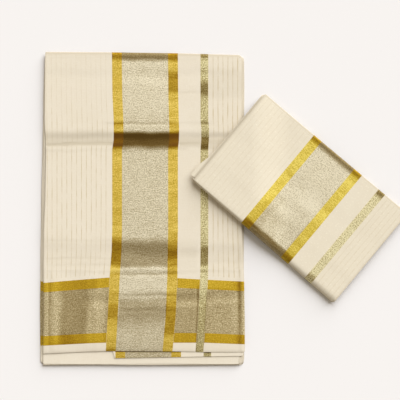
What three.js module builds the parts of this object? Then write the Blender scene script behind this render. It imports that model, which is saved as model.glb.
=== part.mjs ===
// A folded two-piece saree, lying flat: a large folded lower cloth and a small folded shoulder
// cloth that lies partly on it. Millimetres, +Z up, +X to the right and +Y away from the wearer's
// side, where the selvedges lie. The origin is under the middle of the pair, on the surface.
import * as THREE from "three";

// ---- Driving sizes ---------------------------------------------------------------------------
const GAP = 0.3; // air between neighbouring solids
const LEAF = 1.0; // wall of one leaf that shows
const CORNER = 5; // radius of a folded cloth's corners, seen from above
const ROLL_STEPS = 3; // facets round a rolled edge
const PAST_ROLL = { line: 0.8, grid: 1.8 }; // past a rolled edge: the next line, the even grid
const FLAT_EDGES = { left: 0, right: 0, top: 0, bottom: 0 };

const COTTON = { color: 0xece3cb, roughness: 0.9, metalness: 0 };
const SHADED_COTTON = { color: 0xdccfb2, roughness: 0.9, metalness: 0 };

// Lower cloth. Each outline gives x of the left and right edges at the top and bottom corner,
// and y of the top and bottom edges at the left and right corner.
const LOWER_TOP_LEAF = {
  left: { top: -354.5, bottom: -352.3 },
  right: { top: 37.7, bottom: 35.7 },
  top: { left: 314.7, right: 308.1 },
  bottom: { left: -289.5, right: -284.3 },
};
const LOWER_SECOND_LEAF = {
  left: { top: -350.5, bottom: -349.3 },
  right: { top: 34.7, bottom: 39.9 },
  top: { left: 311.2, right: 304.6 },
  bottom: { left: -300.1, right: -294.5 },
};
// The hidden panels from the surface up: each row is one pair of leaves with a round edge.
const LOWER_INNER_FOLDS = [
  {
    thick: 1.5,
    left: { top: -355.6, bottom: -366.7 },
    right: { top: 41.7, bottom: 42.7 },
    top: { left: 310.5, right: 304.2 },
    bottom: { left: -309.9, right: -314.7 },
  },
  {
    thick: 1.4,
    left: { top: -356.9, bottom: -365.1 },
    right: { top: 42.3, bottom: 42.9 },
    top: { left: 311.6, right: 305.2 },
    bottom: { left: -308.3, right: -309.3 },
  },
  {
    thick: 1.4,
    left: { top: -356.1, bottom: -360.7 },
    right: { top: 41.1, bottom: 41.7 },
    top: { left: 312.0, right: 305.6 },
    bottom: { left: -309.5, right: -309.7 },
  },
  {
    thick: 1.3,
    left: { top: -354.9, bottom: -359.3 },
    right: { top: 40.3, bottom: 40.9 },
    top: { left: 311.0, right: 304.8 },
    bottom: { left: -306.9, right: -306.7 },
  },
];
const LOWER_ROLLS = { left: 1.9, right: 0.5, top: 2.7, bottom: 0 };
const LOWER_LOFT = 1.0; // how far the top leaf stands off the second one between its creases
const LOWER_SPANS = { x: 8, y: 34 }; // even spans of the top leaf's grid
const LOWER_FLAT_SPANS = { x: 4, y: 6 }; // and of the flat layers under it

// Packing creases of the top leaf: troughs (deep below 0) and ridges across the cloth. y is the
// middle at the left edge, lean how far it climbs by the right edge, half its half width.
const LOWER_CREASES = [
  { y: 141, lean: 5, half: 15, rise: -0.8 },
  { y: 121, lean: 4, half: 9, rise: 0.35 },
  { y: -88, lean: -3, half: 30, rise: -0.7 },
  { y: -121, lean: 1, half: 9, rise: 0.4 },
  { y: -183, lean: 9, half: 17, rise: -0.55 },
  { y: 265, lean: 4, half: 20, rise: -0.3 },
];
const CREASE_FADE = { from: -70, to: 10 }; // the ridges die out here, under the shoulder cloth

// Shoulder cloth. Its own axes: a runs along its long side from the upper-left end, b across it
// from the lower-left edge. Outlines give the ends and the long edges in those axes.
const SHOULDER_CORNER = { x: -60.3, y: 58.7 }; // where a and b are 0
const SHOULDER_TURN = -39.8; // degrees from +X to its long side
const SHOULDER_TOP_LEAF = {
  left: { top: 0.5, bottom: 0.8 },
  right: { top: 371.5, bottom: 372.0 },
  top: { left: 223.5, right: 222.0 },
  bottom: { left: -1.0, right: -2.5 },
};
const SHOULDER_SECOND_LEAF = {
  left: { top: -2.4, bottom: -8.0 },
  right: { top: 368.0, bottom: 368.0 },
  top: { left: 216.5, right: 215.5 },
  bottom: { left: 7.0, right: 6.0 },
};
const SHOULDER_INNER_FOLDS = [
  {
    thick: 2.3,
    left: { top: 1.4, bottom: 1.0 },
    right: { top: 369.4, bottom: 369.6 },
    top: { left: 220.0, right: 219.0 },
    bottom: { left: 1.0, right: -7.8 },
  },
  {
    thick: 2.1,
    left: { top: -1.2, bottom: -0.6 },
    right: { top: 371.6, bottom: 370.8 },
    top: { left: 221.4, right: 220.6 },
    bottom: { left: -1.0, right: -9.8 },
  },
  {
    thick: 2.1,
    left: { top: -2.6, bottom: -1.6 },
    right: { top: 370.6, bottom: 370.0 },
    top: { left: 221.0, right: 220.0 },
    bottom: { left: 0.2, right: -6.4 },
  },
  {
    thick: 2.1,
    left: { top: -1.0, bottom: -2.0 },
    right: { top: 368.6, bottom: 368.8 },
    top: { left: 219.6, right: 218.6 },
    bottom: { left: 2.4, right: 0.9 },
  },
  {
    thick: 1.9,
    left: { top: -2.2, bottom: -3.4 },
    right: { top: 367.6, bottom: 368.0 },
    top: { left: 217.6, right: 216.8 },
    bottom: { left: 4.4, right: 2.9 },
  },
];
const SHOULDER_ROLLS = { left: 1.3, right: 2.2, top: 5.0, bottom: 6.2 };
const SHOULDER_LOFT = 0.5;
const SHOULDER_SPANS = { x: 16, y: 8 }; // even spans of its grids
const SHOULDER_CREASES = [
  { a: 92, half: 34, rise: -0.35 },
  { a: 236, half: 40, rise: -0.45 },
  { a: 331, half: 24, rise: -0.3 },
];

// Where the shoulder cloth comes down from the lower cloth to the surface, along X.
const DRAPE = { from: 54, to: 134, height: 9.3 };
// The round edge of a folded pair of leaves: how far in it lies at shares of its height.
const SIDE_BULGE = [
  { up: 0.0, inset: 0.8 },
  { up: 0.5, inset: 0.0 },
  { up: 1.0, inset: 0.8 },
];

// ---- Small maths -----------------------------------------------------------------------------
const { lerp, smoothstep, degToRad } = THREE.MathUtils;

// A soft bump of height 1 that is 0 at half its width from the middle.
function bump(distance, half) {
  const share = Math.min(Math.abs(distance) / half, 1);
  return 0.5 + 0.5 * Math.cos(Math.PI * share);
}

// How far the surface drops at a distance from a rolled edge.
function rollDrop(distance, radius) {
  if (distance >= radius) return 0;
  return radius - Math.sqrt(radius ** 2 - (radius - distance) ** 2);
}

// ---- Outlines and grids ----------------------------------------------------------------------
function meanSize(outline) {
  const middle = (edge) => (Object.values(edge)[0] + Object.values(edge)[1]) / 2;
  return {
    width: middle(outline.right) - middle(outline.left),
    height: middle(outline.top) - middle(outline.bottom),
  };
}

// Distances along one side of a grid: close together round its corners and rolled edges.
function stations(length, spans, startRoll, endRoll) {
  const near = (roll) => {
    const turned = (k) => roll * (1 - Math.cos((k * Math.PI) / 2 / ROLL_STEPS));
    const rolled = roll
      ? Array.from({ length: ROLL_STEPS + 1 }, (_, k) => turned(k))
      : [0, CORNER / 4];
    return [...rolled, Math.max(CORNER * 0.6, roll + PAST_ROLL.line)];
  };
  const inside = (roll) => Math.max(CORNER, roll + PAST_ROLL.grid);
  const from = inside(startRoll);
  const to = length - inside(endRoll);
  const even = Array.from({ length: spans + 1 }, (_, k) => lerp(from, to, k / spans));
  const end = near(endRoll).map((distance) => length - distance);
  return [...near(startRoll), ...even, ...end.reverse()];
}

// Turns a square corner round: distances from the outline's lower-left corner go in and out.
function roundCorners(p, q, size) {
  const inX = Math.min(p, size.width - p);
  const inY = Math.min(q, size.height - q);
  if (inX >= CORNER || inY >= CORNER) return { p, q };
  const a = 1 - inX / CORNER;
  const b = 1 - inY / CORNER;
  const shrink = Math.max(a, b) / Math.hypot(a, b);
  const nearX = CORNER * (1 - a * shrink);
  const nearY = CORNER * (1 - b * shrink);
  return {
    p: p < size.width / 2 ? nearX : size.width - nearX,
    q: q < size.height / 2 ? nearY : size.height - nearY,
  };
}

// The place in the outline's plane of a point at p, q from its lower-left corner.
function inOutline(outline, size, p, q) {
  const round = roundCorners(p, q, size);
  const s = round.p / size.width;
  const t = round.q / size.height;
  const { left, right, top, bottom } = outline;
  return {
    x: lerp(lerp(left.bottom, left.top, t), lerp(right.bottom, right.top, t), s),
    y: lerp(lerp(bottom.left, bottom.right, s), lerp(top.left, top.right, s), t),
  };
}

// A grid of points over an outline. height(x, y) gives z, the edges roll down by their radii,
// and place(x, y, z) turns the cloth's own axes into the part's.
function surface({ outline, spans, rolls, height, place }) {
  const size = meanSize(outline);
  const across = stations(size.width, spans.x, rolls.left, rolls.right);
  const along = stations(size.height, spans.y, rolls.bottom, rolls.top);
  return across.map((p) =>
    along.map((q) => {
      const { x, y } = inOutline(outline, size, p, q);
      const drop = Math.max(
        rollDrop(p, rolls.left),
        rollDrop(size.width - p, rolls.right),
        rollDrop(q, rolls.bottom),
        rollDrop(size.height - q, rolls.top),
      );
      return place(x, y, height(x, y) - drop);
    }),
  );
}

// The outline moved in on every side.
function insetOutline(outline, inset) {
  const moved = (edge, by) =>
    Object.fromEntries(Object.entries(edge).map(([end, value]) => [end, value + by]));
  return {
    left: moved(outline.left, inset),
    right: moved(outline.right, -inset),
    top: moved(outline.top, -inset),
    bottom: moved(outline.bottom, inset),
  };
}

// ---- Closed solids from grids ----------------------------------------------------------------
// The indices of a grid's rim, anticlockwise seen from above.
function rimOf(grid) {
  const columns = grid.length;
  const rows = grid[0].length;
  const at = (i, j) => i * rows + j;
  const rim = [];
  for (let i = 0; i < columns - 1; i++) rim.push(at(i, 0));
  for (let j = 0; j < rows - 1; j++) rim.push(at(columns - 1, j));
  for (let i = columns - 1; i > 0; i--) rim.push(at(i, rows - 1));
  for (let j = rows - 1; j > 0; j--) rim.push(at(0, j));
  return rim;
}

// The indices of a grid's triangles, from its first point's index.
function gridFaces(grid, first, upward) {
  const rows = grid[0].length;
  const faces = [];
  for (let i = 0; i < grid.length - 1; i++) {
    for (let j = 0; j < rows - 1; j++) {
      const a = first + i * rows + j;
      const b = a + rows;
      const halves = [a, b, b + 1, a, b + 1, a + 1];
      faces.push(...(upward ? halves : halves.reverse()));
    }
  }
  return faces;
}

// One closed body: an upper grid, a lower grid and rings of rim points down between them.
function closedBody(upper, lower, rings = []) {
  const count = upper.flat().length;
  const rim = rimOf(upper);
  const loops = [
    rim,
    ...rings.map((_, k) => rim.map((_, n) => 2 * count + k * rim.length + n)),
    rim.map((n) => n + count),
  ];
  const index = [...gridFaces(upper, 0, true), ...gridFaces(lower, count, false)];
  for (let k = 0; k + 1 < loops.length; k++) {
    const [up, down] = [loops[k], loops[k + 1]];
    rim.forEach((_, n) => {
      const next = (n + 1) % rim.length;
      index.push(up[n], down[n], down[next], up[n], down[next], up[next]);
    });
  }
  const geometry = new THREE.BufferGeometry();
  geometry.setFromPoints([...upper.flat(), ...lower.flat(), ...rings.flat()]);
  geometry.setIndex(index);
  geometry.computeVertexNormals();
  return geometry;
}

// A leaf: the wall between a surface and the same surface moved in by the cloth's thickness.
function leafBody(grid) {
  const skin = new THREE.BufferGeometry().setFromPoints(grid.flat());
  skin.setIndex(gridFaces(grid, 0, true));
  skin.computeVertexNormals();
  const normal = skin.getAttribute("normal");
  const rows = grid[0].length;
  const inner = grid.map((column, i) =>
    column.map((point, j) => {
      const outward = new THREE.Vector3().fromBufferAttribute(normal, i * rows + j);
      return point.clone().addScaledVector(outward, -LEAF);
    }),
  );
  return closedBody(grid, inner);
}

// Folded layers in one body: a round bulge at the edge for each row, flat above and below.
function foldedBody({ layers, spans, place }) {
  const level = (layer, inset, z) =>
    surface({
      outline: insetOutline(layer, inset),
      spans,
      rolls: FLAT_EDGES,
      height: () => z,
      place,
    });
  const levels = [];
  let floor = 0;
  for (const layer of layers) {
    for (const { up, inset } of SIDE_BULGE) {
      levels.push(level(layer, inset, floor + up * layer.thick));
    }
    floor += layer.thick;
  }
  const rings = levels.slice(1, -1).map((grid) => rimOf(grid).map((n) => grid.flat()[n]));
  return closedBody(levels.at(-1), levels[0], rings.reverse());
}

const thicknessOf = (layers) => layers.reduce((sum, layer) => sum + layer.thick, 0);

// ---- Lower cloth -----------------------------------------------------------------------------
const asDrawn = (x, y, z) => new THREE.Vector3(x, y, z);
const lowerInnerTop = thicknessOf(LOWER_INNER_FOLDS);
const lowerSecondTop = lowerInnerTop + GAP + LEAF;
const lowerTop = lowerSecondTop + GAP + LEAF + LOWER_LOFT;

// The top leaf's height: level but for its packing creases, whose ridges fade on the right.
function lowerTopHeight(x, y) {
  const { left, right } = LOWER_TOP_LEAF;
  const share = (x - left.top) / (right.top - left.top);
  const keep = 1 - smoothstep(x, CREASE_FADE.from, CREASE_FADE.to);
  const rises = LOWER_CREASES.map(({ y: middle, lean, half, rise }) => {
    const height = rise * bump(y - middle - lean * share, half);
    return rise > 0 ? height * keep : height;
  });
  return lowerTop + rises.reduce((sum, rise) => sum + rise, 0);
}

function lowerCloth() {
  return {
    lower_cloth_top_leaf: leafBody(
      surface({
        outline: LOWER_TOP_LEAF,
        spans: LOWER_SPANS,
        rolls: LOWER_ROLLS,
        height: lowerTopHeight,
        place: asDrawn,
      }),
    ),
    lower_cloth_second_leaf: leafBody(
      surface({
        outline: LOWER_SECOND_LEAF,
        spans: LOWER_FLAT_SPANS,
        rolls: FLAT_EDGES,
        height: () => lowerSecondTop,
        place: asDrawn,
      }),
    ),
    lower_cloth_inner_folds: foldedBody({
      layers: LOWER_INNER_FOLDS,
      spans: LOWER_FLAT_SPANS,
      place: asDrawn,
    }),
  };
}

// ---- Shoulder cloth --------------------------------------------------------------------------
const shoulderInnerTop = thicknessOf(SHOULDER_INNER_FOLDS);
const shoulderSecondTop = shoulderInnerTop + GAP + LEAF;
const shoulderTop = shoulderSecondTop + GAP + LEAF + SHOULDER_LOFT;

// Turns the shoulder cloth's own a, b and height into a place on the lower cloth or beside it.
function onTheSide(a, b, height) {
  const turn = degToRad(SHOULDER_TURN);
  const x = SHOULDER_CORNER.x + a * Math.cos(turn) - b * Math.sin(turn);
  const y = SHOULDER_CORNER.y + a * Math.sin(turn) + b * Math.cos(turn);
  const lift = DRAPE.height * (1 - smoothstep(x, DRAPE.from, DRAPE.to));
  return new THREE.Vector3(x, y, height + lift);
}

function shoulderTopHeight(a) {
  const rises = SHOULDER_CREASES.map(({ a: middle, half, rise }) => rise * bump(a - middle, half));
  return shoulderTop + rises.reduce((sum, rise) => sum + rise, 0);
}

function shoulderCloth() {
  return {
    shoulder_cloth_top_leaf: leafBody(
      surface({
        outline: SHOULDER_TOP_LEAF,
        spans: SHOULDER_SPANS,
        rolls: SHOULDER_ROLLS,
        height: shoulderTopHeight,
        place: onTheSide,
      }),
    ),
    shoulder_cloth_second_leaf: leafBody(
      surface({
        outline: SHOULDER_SECOND_LEAF,
        spans: SHOULDER_SPANS,
        rolls: FLAT_EDGES,
        height: () => shoulderSecondTop,
        place: onTheSide,
      }),
    ),
    shoulder_cloth_inner_folds: foldedBody({
      layers: SHOULDER_INNER_FOLDS,
      spans: SHOULDER_SPANS,
      place: onTheSide,
    }),
  };
}

// ---- The pair --------------------------------------------------------------------------------
const saree = new THREE.Group();
for (const [name, geometry] of Object.entries({ ...lowerCloth(), ...shoulderCloth() })) {
  const finish = name.endsWith("inner_folds") ? SHADED_COTTON : COTTON;
  const mesh = new THREE.Mesh(geometry, new THREE.MeshStandardMaterial(finish));
  mesh.name = name;
  saree.add(mesh);
}

// The origin is under the middle of the whole.
const extent = new THREE.Box3().setFromObject(saree);
const middle = extent.getCenter(new THREE.Vector3());
saree.position.set(-middle.x, -middle.y, -extent.min.z);

export default saree;
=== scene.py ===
"""A folded two-piece saree of cream cotton: a lower cloth with a shoulder cloth laid on it."""

import logging
import math
from dataclasses import dataclass, field
from enum import Enum
from functools import partial
from typing import Any, Callable, Sequence

import bpy
import numpy as np
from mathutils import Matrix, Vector


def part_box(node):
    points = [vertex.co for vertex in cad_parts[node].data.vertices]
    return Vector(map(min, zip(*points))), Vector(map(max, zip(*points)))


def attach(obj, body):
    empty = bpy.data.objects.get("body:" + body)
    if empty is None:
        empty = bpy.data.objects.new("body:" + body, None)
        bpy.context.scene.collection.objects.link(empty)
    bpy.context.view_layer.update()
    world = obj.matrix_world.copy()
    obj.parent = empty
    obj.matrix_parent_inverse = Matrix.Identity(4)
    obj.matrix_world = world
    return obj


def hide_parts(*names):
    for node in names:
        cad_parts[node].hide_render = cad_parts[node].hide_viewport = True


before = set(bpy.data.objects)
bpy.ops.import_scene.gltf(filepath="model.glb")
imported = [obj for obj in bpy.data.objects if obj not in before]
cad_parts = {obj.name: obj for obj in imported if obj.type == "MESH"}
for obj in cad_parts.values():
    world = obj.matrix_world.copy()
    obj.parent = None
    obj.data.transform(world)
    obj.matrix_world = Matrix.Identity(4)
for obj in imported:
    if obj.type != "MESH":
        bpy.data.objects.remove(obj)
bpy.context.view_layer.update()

LOG = logging.getLogger("saree")
Pair = tuple[float, float]
Array = np.ndarray

MM = 0.001
CRISP = 0.5  # the blur of a patch that ends where a woven band does, in millimetres
WEAVE_MAP = "weave"  # the UV map that holds a point's place in the woven cloth, in metres
ZARI_PAINTED_SHADE = "zari_painted_shade"  # how much painted shade lies on a point of the metal thread
COTTON_PAINTED_SHADE = "cotton_painted_shade"  # and on a point of the cotton


# ---- Shader maths ----
def math_node(operation: str, swapped: bool = False) -> Callable[..., "Wire"]:
    """Makes a method of Wire that adds a Math node.

    Args:
        operation: the Math node's operation.
        swapped: whether the other value comes before the wire.

    Returns:
        The method. It takes the other value, if there is one, and returns the node's result.
    """

    def method(self: "Wire", *other: Any) -> "Wire":
        """Adds the node."""
        values = (*other, self) if swapped else (self, *other)
        return self.graph.node("ShaderNodeMath", {"operation": operation}, dict(enumerate(values)))

    return method


class Wire:
    """A shader socket that takes part in sums."""

    def __init__(self, graph: "Graph", socket: bpy.types.NodeSocket) -> None:
        """Wraps a socket of a graph.

        Args:
            graph: the graph that the socket's node is in.
            socket: an output socket.
        """
        self.graph = graph
        self.socket = socket

    __add__ = __radd__ = math_node("ADD")
    __sub__ = math_node("SUBTRACT")
    __rsub__ = math_node("SUBTRACT", swapped=True)
    __mul__ = __rmul__ = math_node("MULTIPLY")
    __truediv__ = math_node("DIVIDE")
    __abs__ = math_node("ABSOLUTE")
    fraction = math_node("FRACT")  # what is left above the whole part
    least = math_node("MINIMUM")
    most = math_node("MAXIMUM")
    sine = math_node("SINE")  # of an angle in radians

    def held(self) -> "Wire":
        """Returns self kept between 0 and 1."""
        return self.least(1.0).most(0.0)


class Graph:
    """The node tree of one material."""

    def __init__(self, name: str) -> None:
        """Makes a material with an empty node tree.

        Args:
            name: the material's name.
        """
        self.material = bpy.data.materials.new(name)
        self.material.use_nodes = True
        self.tree = self.material.node_tree
        self.tree.nodes.clear()

    def node(
        self, kind: str, settings: dict[str, Any], inputs: dict[Any, Any], output: Any = 0
    ) -> Wire:
        """Adds a node.

        Args:
            kind: the node's type.
            settings: the node's own settings, set first.
            inputs: values or wires by the sockets' names or numbers.
            output: the name or number of the output that is wanted.

        Returns:
            The wire of that output, which is empty for a node without outputs.
        """
        made = self.tree.nodes.new(kind)
        for name, value in settings.items():
            setattr(made, name, value)
        for name, value in inputs.items():
            if isinstance(value, Wire):
                self.tree.links.new(value.socket, made.inputs[name])
            else:
                made.inputs[name].default_value = value
        return Wire(self, made.outputs[output] if len(made.outputs) else None)

    def mix(self, share: Any, first: Any, second: Any, blend: str = "MIX") -> Wire:
        """Mixes two colours.

        Args:
            share: how much of the second colour there is.
            first: the first colour.
            second: the second colour.
            blend: the way they are mixed.

        Returns:
            The mixed colour.
        """
        settings = {"data_type": "RGBA", "blend_type": blend, "clamp_result": False}
        return self.node("ShaderNodeMix", settings, {0: share, 6: first, 7: second}, 2)

    def noise(self, place: Wire, scale: float, detail: float, rough: float = 0.5) -> Wire:
        """Adds even noise from 0 to 1.

        Args:
            place: where it is looked up.
            scale: bumps for each unit of place.
            detail: how many finer layers it has.
            rough: how strong these are.

        Returns:
            The noise's value.
        """
        inputs = {"Vector": place, "Scale": scale, "Detail": detail, "Roughness": rough}
        return self.node("ShaderNodeTexNoise", {}, inputs)

    def point(self, x: Any, y: Any, z: Any = 0.0) -> Wire:
        """Returns a vector made of three numbers or wires."""
        return self.node("ShaderNodeCombineXYZ", {}, {"X": x, "Y": y, "Z": z})


def rgb(red: float, green: float, blue: float) -> tuple[float, float, float, float]:
    """Turns a screen colour of 0 to 255 into the linear colour that shaders take.

    Args:
        red: red, from 0 to 255.
        green: green, from 0 to 255.
        blue: blue, from 0 to 255.

    Returns:
        The colour with full alpha.
    """

    def linear(value: float) -> float:
        """Returns one channel made linear."""
        share = value / 255
        return share / 12.92 if share <= 0.04045 else ((share + 0.055) / 1.055) ** 2.4

    return linear(red), linear(green), linear(blue), 1.0


# ---- Finishes ----
@dataclass(frozen=True)
class Band:
    """A woven band, by the distances in millimetres where it starts and ends."""

    start: float
    end: float


@dataclass(frozen=True)
class StripeField:
    """Evenly spaced fine threads of a deeper beige, in millimetres along the cloth."""

    first: float
    last: float
    pitch: float
    width: float = 1.3
    strength: float = 1.0
    inset: float = 152.0  # how far from the selvedge the stripes start
    fade: float = 0.0  # how much weaker they are far from the selvedge
    fade_from: float = 430.0
    fade_over: float = 75.0


@dataclass(frozen=True)
class Weave:
    """Where the bands and stripes of one cloth lie. Distances are in millimetres.

    The pallu bands run across the cloth and lie at distances along it, and the kara runs along
    the cloth and lies at distances in from the selvedge.
    """

    pallu: Band
    narrow: Band
    edging: float
    kara: Band
    stripes: tuple[StripeField, ...]


@dataclass(frozen=True)
class Thread:
    """The colours of a metal thread, from a painted glint to painted shade in a crease."""

    stops: tuple[tuple[float, tuple], ...]

    def colour(self, g: Graph, deep: Wire) -> Wire:
        """Looks up the thread's colour.

        Args:
            g: the material's graph.
            deep: 0 for a painted glint, low for the thread's own colour and 1 for painted shade
                deep in a crease.

        Returns:
            The colour.
        """
        colour = g.node("ShaderNodeValToRGB", {}, {"Fac": deep}, "Color")
        elements = colour.socket.node.color_ramp.elements
        while len(elements) < len(self.stops):
            elements.new(0.5)
        for element, (place, shown) in zip(elements, self.stops):
            element.position = place
            element.color = shown
        return colour


@dataclass(frozen=True)
class Spot:
    """The point of the woven cloth that a material's graph works on, in millimetres.

    Attributes:
        g: the graph.
        u: the distance along the cloth.
        v: the distance in from the selvedge.
        place: both as a vector.
    """

    g: Graph
    u: Wire
    v: Wire
    place: Wire

    def noise(self, along: float, inward: float, detail: float, rough: float = 0.5) -> Wire:
        """Adds noise that is drawn out one way.

        Args:
            along: bumps for each millimetre along the cloth.
            inward: bumps for each millimetre in from the selvedge.
            detail: how many finer layers it has.
            rough: how strong these are.

        Returns:
            The noise's value.
        """
        return self.g.noise(self.g.point(self.u * along, self.v * inward), 1.0, detail, rough)


def thread(*stops: tuple[float, float, float, float]) -> Thread:
    """Makes a thread from stops, each a depth and its red, green and blue from 0 to 255."""
    return Thread(tuple((depth, rgb(*colour)) for depth, *colour in stops))


# Each ramp holds painted glints near 0, the thread's own colour a little above, and painted shade
# towards 1.
SILVER = thread(
    (0.0, 240, 230, 203),
    (0.12, 219, 208, 177),
    (0.3, 188, 173, 138),
    (0.45, 163, 147, 110),
    (0.6, 136, 118, 78),
    (0.8, 107, 84, 38),
    (1.0, 84, 61, 12),
)
GOLD = thread(
    (0.0, 240, 211, 108),
    (0.13, 218, 187, 78),
    (0.3, 203, 169, 60),
    (0.45, 180, 145, 38),
    (0.6, 156, 119, 12),
    (0.8, 128, 89, 0),
    (1.0, 106, 68, 2),
)
DEEP_GOLD = thread(
    (0.0, 226, 192, 64),
    (0.13, 208, 172, 44),
    (0.3, 193, 156, 32),
    (0.45, 179, 141, 27),
    (0.6, 158, 120, 16),
    (0.8, 130, 90, 5),
    (1.0, 106, 68, 2),
)


@dataclass(frozen=True)
class KasavuFinish:
    """Unbleached cotton with zari bands woven in."""

    name: str
    slot: str
    weave: Weave
    cotton: tuple = rgb(231, 221, 202)
    # The cotton's colour in painted shade.
    painted_shade_colour: tuple = rgb(196, 184, 161)
    cotton_warm: tuple = rgb(223, 210, 185)
    stripe: tuple = rgb(204, 187, 152)
    fleck: tuple = rgb(244, 235, 214)
    flecks: float = 0.0  # how strong the pale slubs are
    depth: float = 0.14  # where the silver's own colour lies on its ramp of painted glint and shade, where the cloth is flat
    dash: float = 0.04  # breaks in the stripes for each millimetre
    dash_contrast: float = 3.0
    narrow_tint: tuple = (1.06, 1.07, 0.84, 1.0)
    kara_tint: tuple = (1.04, 1.0, 0.88, 1.0)
    gold_tint: tuple = (1.0, 1.0, 1.0, 1.0)
    thread_pitch: float = 0.55  # in millimetres
    metal: float = 0.5
    # The roughness of cotton, how much smoother zari is, and how much its glitter takes back.
    rough: tuple[float, float, float] = (0.9, 0.5, 0.22)
    relief: float = 0.00022  # the height of a thread, in metres

    def material(self) -> bpy.types.Material:
        """Builds the material.

        Returns:
            The material, which reads the weave map and the two painted-shade attributes.
        """
        g = Graph(self.name)
        uv = g.node("ShaderNodeUVMap", {"uv_map": WEAVE_MAP}, {})
        u = g.node("ShaderNodeSeparateXYZ", {}, {"Vector": uv}, "X") * (1 / MM)
        v = g.node("ShaderNodeSeparateXYZ", {}, {"Vector": uv}, "Y") * (1 / MM)
        at = Spot(g, u, v, g.point(u, v))
        across = self._between(u, self.weave.pallu)
        narrow = self._between(u, self.weave.narrow)
        kara = self._between(v, self.weave.kara) * (1 - across) * (1 - narrow)
        zari = across.most(narrow).most(kara)
        # Painted shade for the metal thread and for the cotton, laid on each point.
        shade = g.node("ShaderNodeAttribute", {"attribute_name": ZARI_PAINTED_SHADE}, {}, "Fac")
        painted_shade_on_cotton = g.node("ShaderNodeAttribute", {"attribute_name": COTTON_PAINTED_SHADE}, {}, "Fac")

        # Fine noise: roughness of the glitter, and painted glints in the thread's colour.
        glitter = g.noise(at.place, 0.45, 1.5, 0.7)
        metal = self._zari(at, glitter, shade, narrow, kara)
        colour = g.mix(zari, self._cotton(at, painted_shade_on_cotton), metal)
        normal = g.node(
            "ShaderNodeBump",
            {},
            {"Strength": 0.5, "Distance": self.relief, "Height": self._threads(at, zari)},
        )
        cotton, shine, sparkle = self.rough
        shader = g.node(
            "ShaderNodeBsdfPrincipled",
            {},
            {
                "Base Color": colour,
                "Metallic": zari * self.metal,
                "Roughness": cotton - zari * (shine - sparkle * glitter),
                "Normal": normal,
                "Sheen Weight": 0.06,
                "Sheen Roughness": 0.5,
                "Specular IOR Level": 0.2,
            },
        )
        g.node("ShaderNodeOutputMaterial", {}, {"Surface": shader})
        return g.material

    @staticmethod
    def _between(distance: Wire, band: Band, soft: float = 0.7) -> Wire:
        """Masks a band.

        Args:
            distance: the distance that the band is measured along.
            band: the band.
            soft: how far its edge is blurred.

        Returns:
            1 in the band and 0 outside it.
        """
        middle = (band.start + band.end) / 2
        half = (band.end - band.start) / 2
        return ((half - abs(distance - middle)) / soft + 0.5).held()

    def _zari(self, at: Spot, glitter: Wire, shade: Wire, narrow: Wire, kara: Wire) -> Wire:
        """Makes the colour of the metal thread, with painted shade and painted glints.

        Args:
            at: the point.
            glitter: fine noise.
            shade: the painted shade at the point.
            narrow: 1 in the narrow band.
            kara: 1 in the kara.

        Returns:
            The colour.
        """
        g, edging = at.g, self.weave.edging
        inner = Band(self.weave.pallu.start + edging, self.weave.pallu.end - edging)
        inner_kara = Band(self.weave.kara.start + edging, self.weave.kara.end - edging)
        gold_pallu = (1 - self._between(at.u, inner)) * (1 - kara) * (1 - narrow)
        gold_kara = kara * (1 - self._between(at.v, inner_kara))
        silver_kara = kara - gold_kara

        streaks = at.noise(0.06, 0.42, 2.5, 0.7)
        dashes = at.noise(0.2, 0.5, 1.0, 0.6)
        patches = g.noise(at.place, 0.045, 2.0)
        bars = at.noise(0.004, 0.05, 1.5, 0.6)
        # Painted glints and the thread's random tone, fainter where painted shade lies.
        sparkle = (glitter - 0.5) * (1.15 + 0.45 * narrow)
        even = sparkle + (dashes - 0.5) * 0.35 + (patches - 0.5) * 0.1
        lined = (streaks - 0.5) * (0.45 + 0.3 * gold_pallu) + (bars - 0.5) * 0.5 * gold_pallu
        texture = (even + lined) * (1 - 0.8 * shade.held())
        base = self.depth + 0.13 * narrow + 0.13 * silver_kara + 0.06 * gold_kara
        # How far along the ramp from painted glint to painted shade the colour lies.
        deep = (base + shade + texture).held()

        silver = SILVER.colour(g, deep)
        silver = g.mix(narrow, silver, self.narrow_tint, "MULTIPLY")
        silver = g.mix(silver_kara, silver, self.kara_tint, "MULTIPLY")
        gold = g.mix(gold_pallu, GOLD.colour(g, deep), self.gold_tint, "MULTIPLY")
        metal = g.mix(gold_pallu, silver, gold)
        return g.mix(gold_kara, metal, DEEP_GOLD.colour(g, deep))

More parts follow.
